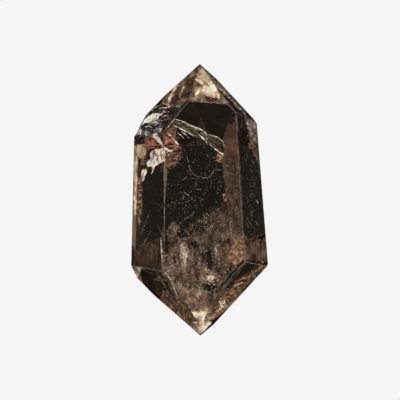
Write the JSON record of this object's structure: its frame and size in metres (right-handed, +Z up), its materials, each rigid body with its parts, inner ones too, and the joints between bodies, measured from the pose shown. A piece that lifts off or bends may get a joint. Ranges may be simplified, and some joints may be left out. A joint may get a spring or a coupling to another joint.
{
  "type": "smoky quartz crystal",
  "caption": "Clear brown smoky quartz crystal with a faceted point at each end and a chipped shoulder, lying on a prism face.",
  "frame": {"origin": "on the resting prism face, under the middle of the crystal's outline", "axes": "+Y along the crystal to its upper point, +Z up from the resting face, +X to the right seen from above with the upper point ahead"},
  "size_m": [0.0364, 0.0715, 0.0297],
  "materials": {
    "smoky_quartz": "glassy natural crystal faces, brown and clear, with a shell-like break on one shoulder"
  },
  "bodies": {
    "root": {"crystal": "smoky_quartz"}
  },
  "joints": []
}
